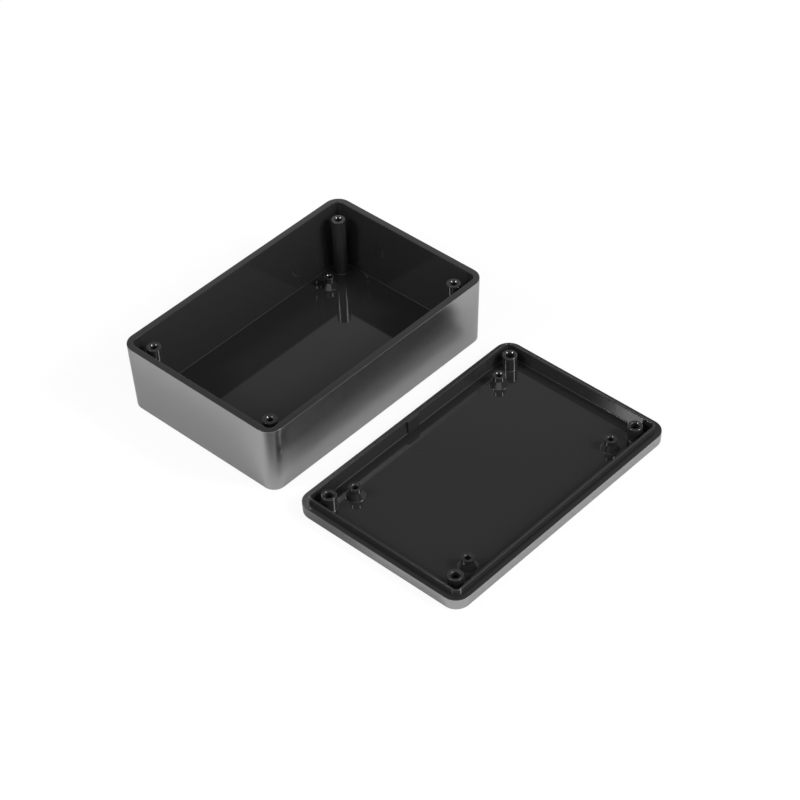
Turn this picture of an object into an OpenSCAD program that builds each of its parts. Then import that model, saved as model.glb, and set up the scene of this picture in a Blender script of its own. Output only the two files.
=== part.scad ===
// Plastic project box: an open deep half and its lid, two ABS mouldings that
// close with four tapping screws. The lid lies beside the box, inside up.
// Millimetres. Z is up, X runs along the long side, and the origin is the
// middle of the box's underside.

/* [Case] */
// Outside length at the rim
case_length = 120; // [80:1:200]
// Outside width at the rim
case_width = 80; // [60:1:160]
// Height of the box without its lid
case_height = 31; // [20:1:80]
// Outside radius of the upright corners at the rim
corner_r = 6.2; // [4:0.1:10]
// Wall thickness at the rim
rim_wall = 2.8; // [2:0.1:4]
// Floor thickness of the box
floor_t = 2; // [1.5:0.1:4]
// Lean of the outside walls, in degrees, so that the box leaves its mould
outer_draft = 2.2; // [0:0.1:4]
// Lean of the inside walls, in degrees
inner_draft = 3; // [0:0.1:5]
// Inside radius of the upright corners at the floor
cavity_r = 1; // [0.6:0.1:3]
// Radius along the bottom edge
foot_r = 0.8; // [0.2:0.1:2]
// Radius where inside walls meet a floor
root_r = 0.5; // [0.1:0.1:0.9]
// Radius that breaks the edges of the rim and of the lid's seat
break_r = 0.25; // [0.05:0.05:0.5]

/* [Lid] */
// Thickness of the lid at its edge
lid_t = 5.5; // [4:0.1:8]
// Thickness of the lid's floor, inside the tray
lid_floor_t = 1.8; // [1.2:0.1:3]
// Radius along the edge of the lid's outer face
lid_edge_r = 1.2; // [0.2:0.1:2]
// Height of the spigot lip above the seat on the rim
lip_h = 2.2; // [1:0.1:5]
// Thickness of the lip at its top
lip_t = 0.8; // [0.7:0.1:1.4]
// Lean of the tray's inside walls, in degrees
tray_draft = 4; // [0:0.1:6]
// Gap all round between the lip and the box's walls
lip_clearance = 0.15; // [0.05:0.01:0.4]
// Width of the gate pad on the lip's inner face
pad_w = 6.2; // [3:0.1:12]
// How far the gate pad stands off that face
pad_t = 0.5; // [0.3:0.1:1]

/* [Lid screws] */
// Distance of each screw's centre from the outside faces at the rim
screw_inset = 9; // [7.5:0.1:14]
// Diameter of a corner post at its top
post_d = 5.7; // [5:0.1:8]
// Lean of the posts and bosses, in degrees
post_draft = 0.5; // [0:0.1:1.5]
// Depth of a post's top below the rim
post_drop = 2.7; // [1:0.1:6]
// Pilot bore for a tapping screw of about 2.9 mm
post_bore = 2.4; // [2:0.1:3.4]
// Solid post left between that bore and the floor
post_solid = 10.5; // [1:0.5:20]
// Gap between a post and the lid's boss when the lid is on
boss_gap = 0.15; // [0.05:0.01:0.5]
// Diameter of the lid's corner bosses at their tops
lid_boss_d = 5.9; // [5:0.1:8]
// Radius round the top of those bosses
lid_boss_r = 0.4; // [0.1:0.1:0.8]
// Clearance hole through the lid
clear_bore = 3.2; // [3:0.1:4.5]
// Diameter of the countersink on the lid's outer face
sink_d = 5.8; // [5:0.1:8]

/* [Board bosses] */
// Distance of a board screw from its corner screw along the length
board_offset_x = 10.4; // [7:0.1:30]
// Distance of a board screw from its corner screw along the width
board_offset_y = 3.4; // [0:0.1:20]
// Solid boss left between each bore and the floor
board_solid = 0.1; // [0:0.1:2]
// Height of the box's board bosses above its floor
box_boss_h = 5; // [3:0.1:8]
// Their diameter at the top
box_boss_d = 3.9; // [3:0.1:7]
// Diameter of their conical feet
box_foot_d = 7; // [5:0.1:10]
// Height of those feet
box_foot_h = 2.5; // [0.5:0.1:3]
// Their pilot bore, for a screw of about 2.2 mm
box_boss_bore = 1.8; // [1.2:0.1:2.4]
// Height of the lid's board bosses above its floor
tray_boss_h = 4.8; // [3:0.1:8]
// Their diameter at the top
tray_boss_d = 4.8; // [4:0.1:7]
// Diameter of their conical feet
tray_foot_d = 7.3; // [5:0.1:10]
// Height of those feet
tray_foot_h = 2.8; // [0.5:0.1:3]
// Their pilot bore, for a screw of about 2.6 mm
tray_boss_bore = 2.2; // [1.6:0.1:3]

/* [Layout] */
// Gap on the table between the box's rim and the lid
lid_gap = 11; // [2:0.5:60]
// How far the lid lies along X from the box
lid_shift = -0.4; // [-40:0.1:40]

/* [Hidden] */
$fn = 72;
// Chamfer at the mouth of every screw bore
mouth = 0.35;
// Fillet round the foot of every post and boss
boss_fillet = 0.3;
// Radius round the top of the posts and board bosses
boss_edge = 0.15;
// Overrun of a cut past the face that it opens
over = 0.5;
// Depth to which an added feature roots in the wall behind it
root = 0.6;

cavity_depth = case_height - floor_t;
// Inside corner radius at the rim, to a tenth
cavity_rim_r = round(10 * (cavity_r + cavity_depth * tan(inner_draft))) / 10;
post_top = case_height - post_drop;
screw_span_x = case_length - 2 * screw_inset;
screw_span_y = case_width - 2 * screw_inset;
board_span_x = screw_span_x - 2 * board_offset_x;
board_span_y = screw_span_y - 2 * board_offset_y;

lip_inset = rim_wall + lip_clearance;
lip_length = case_length - 2 * lip_inset;
lip_width = case_width - 2 * lip_inset;
lip_r = cavity_rim_r - lip_clearance;
// The lip's outside wall leans as the box's inside wall does
lip_lean = lip_h * tan(inner_draft);
lip_edge_r = 0.35 * lip_t;
tray_depth = lid_t + lip_h - lid_floor_t;
tray_inset = lip_inset + lip_lean + lip_t;
tray_lean = tray_depth * tan(tray_draft);
// The tray's corners stay rounded down to its floor
tray_r = max(lip_r - lip_lean - lip_t, tray_lean + 0.3);
lid_boss_top = lid_t + post_drop - boss_gap;
lid_y = -(case_width + lid_gap);

abs_black = [0.09, 0.09, 0.095];

// Half of a moulding's section, from a corner's centre line out to the leaning
// wall. r is the radius at height h. The foot is rounded by edge_r, or by as
// much as its corner has room for.
module half_section(r, h, lean, edge_r, extra = 0) {
    foot = r - h * tan(lean);
    e = min(edge_r, 0.9 * foot);
    cx = foot + e * tan(lean) - e / cos(lean);
    union() {
        polygon([
            [0, 0], [cx, 0], [cx + e * cos(lean), e * (1 - sin(lean))],
            [r + extra * tan(lean), h + extra], [0, h + extra]
        ]);
        intersection() {
            translate([cx, e]) circle(r = e);
            translate([cx, 0]) square(e);
        }
    }
}

// Its children's section carried round a rounded rectangle: along the four
// sides and through a turned quarter in each corner. The section's x runs
// outwards from the corners' centre lines.
module around(length, width, r) {
    xc = length / 2 - r;
    yc = width / 2 - r;
    for (s = [0, 1]) mirror([s, 0, 0]) {
        translate([xc, 0, 0]) rotate([90, 0, 0])
            linear_extrude(height = 2 * yc, center = true) children();
        for (t = [0, 1]) mirror([0, t, 0])
            translate([xc, yc, 0]) rotate_extrude(angle = 90) children();
    }
    for (t = [0, 1]) mirror([0, t, 0])
        translate([0, yc, 0]) rotate([90, 0, 90])
            linear_extrude(height = 2 * xc, center = true) children();
}

// Rounded block that narrows towards its foot. Length, width and r hold at
// height h.
module moulded_block(length, width, r, h, lean, edge_r, extra = 0) {
    around(length, width, r) half_section(r, h, lean, edge_r, extra);
    translate([r - length / 2, r - width / 2, 0])
        cube([length - 2 * r, width - 2 * r, h + extra]);
}

// What comes off an edge at the origin to round it. The solid is at -x and -y,
// and its side leans outwards below the edge.
module edge_section(r, lean) {
    c = r * tan(45 - lean / 2);
    far = (r + over) * cos(lean) - c;
    difference() {
        polygon([[-c, over], [-c, -r], [far, (r + over) * sin(lean) - r], [far, over]]);
        translate([-c, -r]) circle(r = r);
    }
}

// The same for the outer edge or the inner edge of a rim
module rim_edge(length, width, r, lean, inner = 0) {
    around(length, width, r)
        translate([r, 0]) mirror([inner, 0]) edge_section(break_r, lean);
}

// Its children at the four corners of a rectangle
module corners(span_x, span_y) {
    for (x = [-1, 1], y = [-1, 1])
        translate([x * span_x / 2, y * span_y / 2]) children();
}

// Round boss on the floor at z = 0, d wide at its top: a leaning shaft, a
// conical foot if it has one, a fillet on the floor and an edge radius
module boss(d, h, edge_r, foot_d = 0, foot_h = 0) {
    neck = d / 2 + (h - foot_h) * tan(post_draft);
    foot = max(foot_d / 2, neck);
    lean = foot_h > 0 ? atan((foot - neck) / foot_h) : post_draft;
    reach = boss_fillet * tan(45 - lean / 2);
    inner = boss_fillet + root;
    rotate_extrude() {
        difference() {
            polygon(concat([[0, -root], [foot, -root], [foot, 0]],
                           foot_h > 0 ? [[neck, foot_h]] : [],
                           [[d / 2, h], [0, h]]));
            translate([d / 2, h]) edge_section(edge_r, post_draft);
        }
        difference() {
            polygon([[foot - root, -root], [foot + reach, -root],
                     [foot + reach, boss_fillet],
                     [foot + reach - inner * cos(lean), boss_fillet - inner * sin(lean)]]);
            translate([foot + reach, boss_fillet]) circle(r = boss_fillet);
        }
    }
}

// Screw bore from one height up to a post's top, with a chamfered mouth
module bore(d, from, top) {
    translate([0, 0, from]) cylinder(h = top - from + over, d = d);
    translate([0, 0, top - mouth])
        cylinder(h = mouth + over, d1 = d, d2 = d + 2 * (mouth + over));
}

module box_body() {
    color(abs_black) difference() {
        union() {
            difference() {
                moulded_block(case_length, case_width, corner_r, case_height,
                              outer_draft, foot_r);
                translate([0, 0, floor_t])
                    moulded_block(case_length - 2 * rim_wall,
                                  case_width - 2 * rim_wall, cavity_rim_r,
                                  cavity_depth, inner_draft, root_r, over);
                translate([0, 0, case_height]) {
                    rim_edge(case_length, case_width, corner_r, -outer_draft);
                    rim_edge(case_length - 2 * rim_wall, case_width - 2 * rim_wall,
                             cavity_rim_r, inner_draft, 1);
                }
            }
            translate([0, 0, floor_t]) {
                corners(screw_span_x, screw_span_y)
                    boss(post_d, post_top - floor_t, boss_edge);
                corners(board_span_x, board_span_y)
                    boss(box_boss_d, box_boss_h, boss_edge, box_foot_d, box_foot_h);
            }
        }
        corners(screw_span_x, screw_span_y)
            bore(post_bore, floor_t + post_solid, post_top);
        corners(board_span_x, board_span_y)
            bore(box_boss_bore, floor_t + board_solid, floor_t + box_boss_h);
    }
}

// The lid in its own frame: outer face down on z = 0, tray and lip up
module lid_moulding() {
    difference() {
        union() {
            difference() {
                union() {
                    difference() {
                        moulded_block(case_length, case_width, corner_r, lid_t,
                                      outer_draft, lid_edge_r);
                        translate([0, 0, lid_t])
                            rim_edge(case_length, case_width, corner_r,
                                     -outer_draft);
                    }
                    translate([0, 0, lid_t + lip_h]) mirror([0, 0, 1])
                        moulded_block(lip_length, lip_width, lip_r, lip_h,
                                      inner_draft, lip_edge_r, root);
                }
                translate([0, 0, lid_floor_t])
                    moulded_block(case_length - 2 * tray_inset,
                                  case_width - 2 * tray_inset, tray_r,
                                  tray_depth, tray_draft, root_r, over);
                translate([0, 0, lid_t + lip_h])
                    rim_edge(case_length - 2 * tray_inset,
                             case_width - 2 * tray_inset, tray_r, tray_draft, 1);
            }
            translate([0, 0, lid_floor_t]) {
                corners(screw_span_x, screw_span_y)
                    boss(lid_boss_d, lid_boss_top - lid_floor_t, lid_boss_r);
                corners(board_span_x, board_span_y)
                    boss(tray_boss_d, tray_boss_h, boss_edge, tray_foot_d, tray_foot_h);
            }
            gate_pad();
        }
        corners(screw_span_x, screw_span_y) {
            bore(clear_bore, -over, lid_boss_top);
            translate([0, 0, -over])
                cylinder(h = over + (sink_d - clear_bore) / 2,
                         d1 = sink_d + 2 * over, d2 = clear_bore);
        }
        corners(board_span_x, board_span_y)
            bore(tray_boss_bore, lid_floor_t + board_solid, lid_floor_t + tray_boss_h);
    }
}

// Pad left by the mould's gate, in the middle of one long wall of the tray
module gate_pad() {
    face = case_width / 2 - tray_inset - tray_lean - pad_t;
    translate([-pad_w / 2, face, lid_floor_t - root])
        cube([pad_w, pad_t + tray_lean + lip_t / 2, tray_depth + root]);
}

module lid() {
    color(abs_black) translate([lid_shift, lid_y, 0]) lid_moulding();
}

box_body();
lid();
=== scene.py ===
import math

import bpy
from mathutils import Matrix, Vector


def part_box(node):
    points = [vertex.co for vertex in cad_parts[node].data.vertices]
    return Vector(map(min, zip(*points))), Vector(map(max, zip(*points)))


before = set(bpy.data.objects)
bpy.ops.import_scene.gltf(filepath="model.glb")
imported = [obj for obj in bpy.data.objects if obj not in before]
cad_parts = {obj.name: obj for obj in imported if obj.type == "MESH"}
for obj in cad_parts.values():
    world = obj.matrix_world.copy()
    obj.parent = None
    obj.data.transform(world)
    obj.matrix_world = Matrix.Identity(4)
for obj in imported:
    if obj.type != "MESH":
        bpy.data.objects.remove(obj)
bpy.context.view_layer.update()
print("frame loaded:", sorted(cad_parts))


# One socket of a node tree, written like a number
class Wire:
    def __init__(self, tree, socket):
        self.tree = tree
        self.socket = socket

    def node(self, kind, settings=None, values=None, output=0):
        made = self.tree.nodes.new(kind)
        for name, value in (settings or {}).items():
            if name == "stops":
                ramp = made.color_ramp
                while len(ramp.elements) < len(value):
                    ramp.elements.new(1)
                for element, (place, shade) in zip(ramp.elements, value):
                    element.position = place
                    element.color = (shade, shade, shade, 1)
            else:
                setattr(made, name, value)
        for name, value in (values or {}).items():
            if isinstance(value, Wire):
                self.tree.links.new(value.socket, made.inputs[name])
            else:
                made.inputs[name].default_value = value
        return Wire(self.tree, made.outputs[output])

    def maths(self, operation, *values):
        return self.node("ShaderNodeMath", {"operation": operation}, dict(enumerate(values)))

    def __add__(self, other):
        return self.maths("ADD", self, other)

    def __radd__(self, other):
        return self.maths("ADD", other, self)

    def __sub__(self, other):
        return self.maths("SUBTRACT", self, other)

    def __rsub__(self, other):
        return self.maths("SUBTRACT", other, self)

    def __mul__(self, other):
        return self.maths("MULTIPLY", self, other)

    def __rmul__(self, other):
        return self.maths("MULTIPLY", other, self)

    def size(self):
        return self.maths("ABSOLUTE", self)

    def atLeast(self, low):
        return self.maths("MAXIMUM", self, low)

    def root(self):
        return self.maths("SQRT", self)

    # 0 below low, 1 above high and smooth between
    def step(self, low, high):
        return self.node("ShaderNodeMapRange", {"interpolation_type": "SMOOTHSTEP"},
                         {"Value": self, "From Min": low, "From Max": high})


def startTree(tree):
    tree.nodes.clear()
    return Wire(tree, None)


def deselectAll():
    if bpy.context.object and bpy.context.object.mode != "OBJECT":
        bpy.ops.object.mode_set(mode="OBJECT")
    bpy.ops.object.select_all(action="DESELECT")


# The unit vector towards an azimuth, counted from -Y, and a height over the floor
def awayTowards(azimuth, elevation):
    a, e = math.radians(azimuth), math.radians(elevation)
    return Vector((math.sin(a) * math.cos(e), -math.cos(a) * math.cos(e), math.sin(e)))


# Camera

camera = {
    "azimuth": -45.921,
    "elevation": 42.387,
    "roll": 2.449,
    "distance": 0.97472,
    "target": (0.009915, -0.039015, 0.0),
    "lens": 113.49,
}


def makeCamera(c):
    back = awayTowards(c["azimuth"], c["elevation"])
    r = math.radians(c["roll"])
    side = Vector((0, 0, 1)).cross(back).normalized()
    down = side.cross(back)
    right = side * math.cos(r) + down * math.sin(r)
    up = side * math.sin(r) - down * math.cos(r)
    data = bpy.data.cameras.new("camera")
    data.lens = c["lens"]
    made = bpy.data.objects.new("camera", data)
    bpy.context.scene.collection.objects.link(made)
    turned = Matrix((right, up, back)).transposed().to_4x4()
    made.matrix_world = Matrix.Translation(Vector(c["target"]) + back * c["distance"]) @ turned
    bpy.context.scene.camera = made


makeCamera(camera)
bpy.context.scene.view_settings.view_transform = "Standard"
print("camera set")


# Light: a room that is white low down and dark overhead, a faint glow round one direction,
# and three softboxes

light = {
    "room": ((0.0, 0.95), (0.6, 0.9), (0.65, 0.42), (0.69, 0.2), (0.8, 0.16), (1.0, 0.16)),
    "front": {"azimuth": -40, "elevation": 45, "wide": 0.5, "glow": 0.3},
    "far": 2.0,
    "boxes": (
        {"name": "leftBox", "azimuth": -116, "elevation": 41, "width": 0.36, "power": 14.0},
        {"name": "rightBox", "azimuth": 24, "elevation": 41, "width": 0.36, "power": 20.0},
        {"name": "lowBox", "azimuth": 12, "elevation": 20, "width": 1.2, "power": 16.0},
    ),
}


# The stops give the room's grey by height, as the sine of the elevation
def makeRoom(stops, front):
    world = bpy.data.worlds.new("room")
    world.use_nodes = True
    start = startTree(world.node_tree)
    direction = start.node("ShaderNodeTexCoord", output="Generated")
    height = start.node("ShaderNodeSeparateXYZ", None, {0: direction}, output=2)
    shade = start.node("ShaderNodeValToRGB", {"stops": stops}, {0: height.atLeast(0)})
    axis = awayTowards(front["azimuth"], front["elevation"])
    facing = start.node("ShaderNodeVectorMath", {"operation": "DOT_PRODUCT"}, {0: direction, 1: axis},
                        output=1)
    extra = facing.step(front["wide"], 1.0) * front["glow"]
    surface = start.node("ShaderNodeBackground", None, {"Color": shade + extra, "Strength": 1.0})
    out = world.node_tree.nodes.new("ShaderNodeOutputWorld")
    world.node_tree.links.new(surface.socket, out.inputs[0])
    bpy.context.scene.world = world


def makeSoftbox(b):
    data = bpy.data.lights.new(b["name"], "AREA")
    data.shape = "SQUARE"
    data.size = b["width"]
    data.energy = b["power"]
    lamp = bpy.data.objects.new(b["name"], data)
    bpy.context.scene.collection.objects.link(lamp)
    away = awayTowards(b["azimuth"], b["elevation"])
    lamp.location = away * light["far"] + Vector(camera["target"])
    lamp.rotation_mode = "QUATERNION"
    lamp.rotation_quaternion = away.to_track_quat("Z", "Y")


makeRoom(light["room"], light["front"])
for box in light["boxes"]:
    makeSoftbox(box)
print("light set")


# Floor: white where it is seen directly, with a faint shadow. Reflections and bounced light see plain
# white paper with a grey disc of painted shade on it in front of the box's corner, which darkens the
# reflection in that corner.

floor = {
    "width": 8.0,
    "white": 0.92,
    "shadow": 0.1,
    # The patch below is painted shade: a soft grey disc on the floor that only reflections and
    # bounced light see
    "shadePatch": {"place": (-0.085, -0.064), "solid": 0.012, "radius": 0.04, "grey": 0.2},
}


def makeFloor(f):
    deselectAll()
    bpy.ops.mesh.primitive_plane_add(size=f["width"], location=(0, 0, 0))
    made = bpy.context.object
    made.name = "floor"
    material = bpy.data.materials.new("whiteFloor")
    material.use_nodes = True
    tree = material.node_tree
    start = startTree(tree)
    place = start.node("ShaderNodeTexCoord", None, None, output="Object")
    # Painted shade: a soft grey disc in front of the box's corner, mixed into the floor for every ray
    # but the camera's
    fromShadePatch = start.node("ShaderNodeVectorMath", {"operation": "DISTANCE"},
                          {0: place, 1: (*f["shadePatch"]["place"], 0)}, output=1)
    onShadePatch = 1 - fromShadePatch.step(f["shadePatch"]["solid"], f["shadePatch"]["radius"])
    white = start.node("ShaderNodeBsdfDiffuse", None, {"Color": (f["white"],) * 3 + (1,)})
    grey = start.node("ShaderNodeBsdfDiffuse", None, {"Color": (f["shadePatch"]["grey"],) * 3 + (1,)})
    plain = start.node("ShaderNodeMixShader", None, {0: onShadePatch, 1: white, 2: grey})
    glow = start.node("ShaderNodeEmission", None, {"Color": (1, 1, 1, 1), "Strength": 1.0})
    seen = start.node("ShaderNodeMixShader", None, {0: f["shadow"], 1: glow, 2: white})
    straight = start.node("ShaderNodeLightPath", None, None, output="Is Camera Ray")
    both = start.node("ShaderNodeMixShader", None, {0: straight, 1: plain, 2: seen})
    out = tree.nodes.new("ShaderNodeOutputMaterial")
    tree.links.new(both.socket, out.inputs[0])
    made.data.materials.append(material)


makeFloor(floor)
print("floor laid")


# The two mouldings: satin outside, polished inside

outline = {
    "length": 0.12,
    "width": 0.08,
    "radius": 0.0062,
    "lean": 2.2,
    "lidPlate": 0.0055,
}
# How far from the outer wall, the table and the wall's top edge one finish turns into the other
fade = {
    "wall": (-0.0003, -0.0001),
    "table": (0.0001, 0.0003),
    "top": (-0.0002, -0.0001),
}
satin = {
    "colour": (0.012, 0.012, 0.0125),
    "ior": 3.15,
    "roughness": (0.22, 0.26),
    "grain": 0.00035,
    "grainDepth": 0.00002,
    "grainStrength": 0.35,
}
polished = {
    "colour": (0.018, 0.018, 0.019),
    "ior": 1.5,
    "roughness": (0.04, 0.07),
}
driftScale = 60.0  # patches of slightly different roughness, per metre


# A finish mask: 1 on the outside and the underside, 0 inside
def outsideMask(place, centre, top):
    moved = place.node("ShaderNodeMapping", None,
                       {"Vector": place, "Location": (-centre[0], -centre[1], 0)})
    x, y, z = (place.node("ShaderNodeSeparateXYZ", None, {0: moved}, output=axis)
               for axis in range(3))
    shrink = (top - z) * math.tan(math.radians(outline["lean"]))
    across = (x.size() - (outline["length"] / 2 - outline["radius"]) + shrink).atLeast(0)
    along = (y.size() - (outline["width"] / 2 - outline["radius"]) + shrink).atLeast(0)
    reach = (across * across + along * along).root()
    outside = (reach - outline["radius"]).step(*fade["wall"])
    below = 1 - z.step(*fade["table"])
    underTop = 1 - (z - top).step(*fade["top"])
    return (outside * underTop).atLeast(below)


def bodyMaterial(name, centre, top):
    material = bpy.data.materials.new(name)
    material.use_nodes = True
    tree = material.node_tree
    start = startTree(tree)
    place = start.node("ShaderNodeTexCoord", None, None, output="Object")
    grain = start.node("ShaderNodeTexNoise", {"noise_dimensions": "3D"},
                       {"Vector": place, "Scale": 1 / satin["grain"], "Detail": 2.0})
    bump = start.node("ShaderNodeBump", None, {
        "Strength": satin["grainStrength"], "Distance": satin["grainDepth"], "Height": grain})
    drift = start.node("ShaderNodeTexNoise", {"noise_dimensions": "3D"},
                       {"Vector": place, "Scale": driftScale, "Detail": 3.0})
    low, high = satin["roughness"]
    dull = start.node("ShaderNodeBsdfPrincipled", None, {
        "Base Color": (*satin["colour"], 1), "IOR": satin["ior"],
        "Roughness": drift * (high - low) + low, "Normal": bump})
    low, high = polished["roughness"]
    shiny = start.node("ShaderNodeBsdfPrincipled", None, {
        "Base Color": (*polished["colour"], 1), "IOR": polished["ior"],
        "Roughness": drift * (high - low) + low})
    both = start.node("ShaderNodeMixShader", None,
                      {0: outsideMask(place, centre, top), 1: shiny, 2: dull})
    out = tree.nodes.new("ShaderNodeOutputMaterial")
    tree.links.new(both.socket, out.inputs[0])
    return material


def paint(node, material):
    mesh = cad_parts[node].data
    for slot in range(len(mesh.materials)):
        mesh.materials[slot] = material
    if not mesh.materials:
        mesh.materials.append(material)


boxLow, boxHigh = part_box("box_body")
lidLow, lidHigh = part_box("lid")
paint("box_body", bodyMaterial("boxPlastic", (boxLow + boxHigh) / 2, boxHigh[2]))
paint("lid", bodyMaterial("lidPlastic", (lidLow + lidHigh) / 2, outline["lidPlate"]))
print("plastic painted")
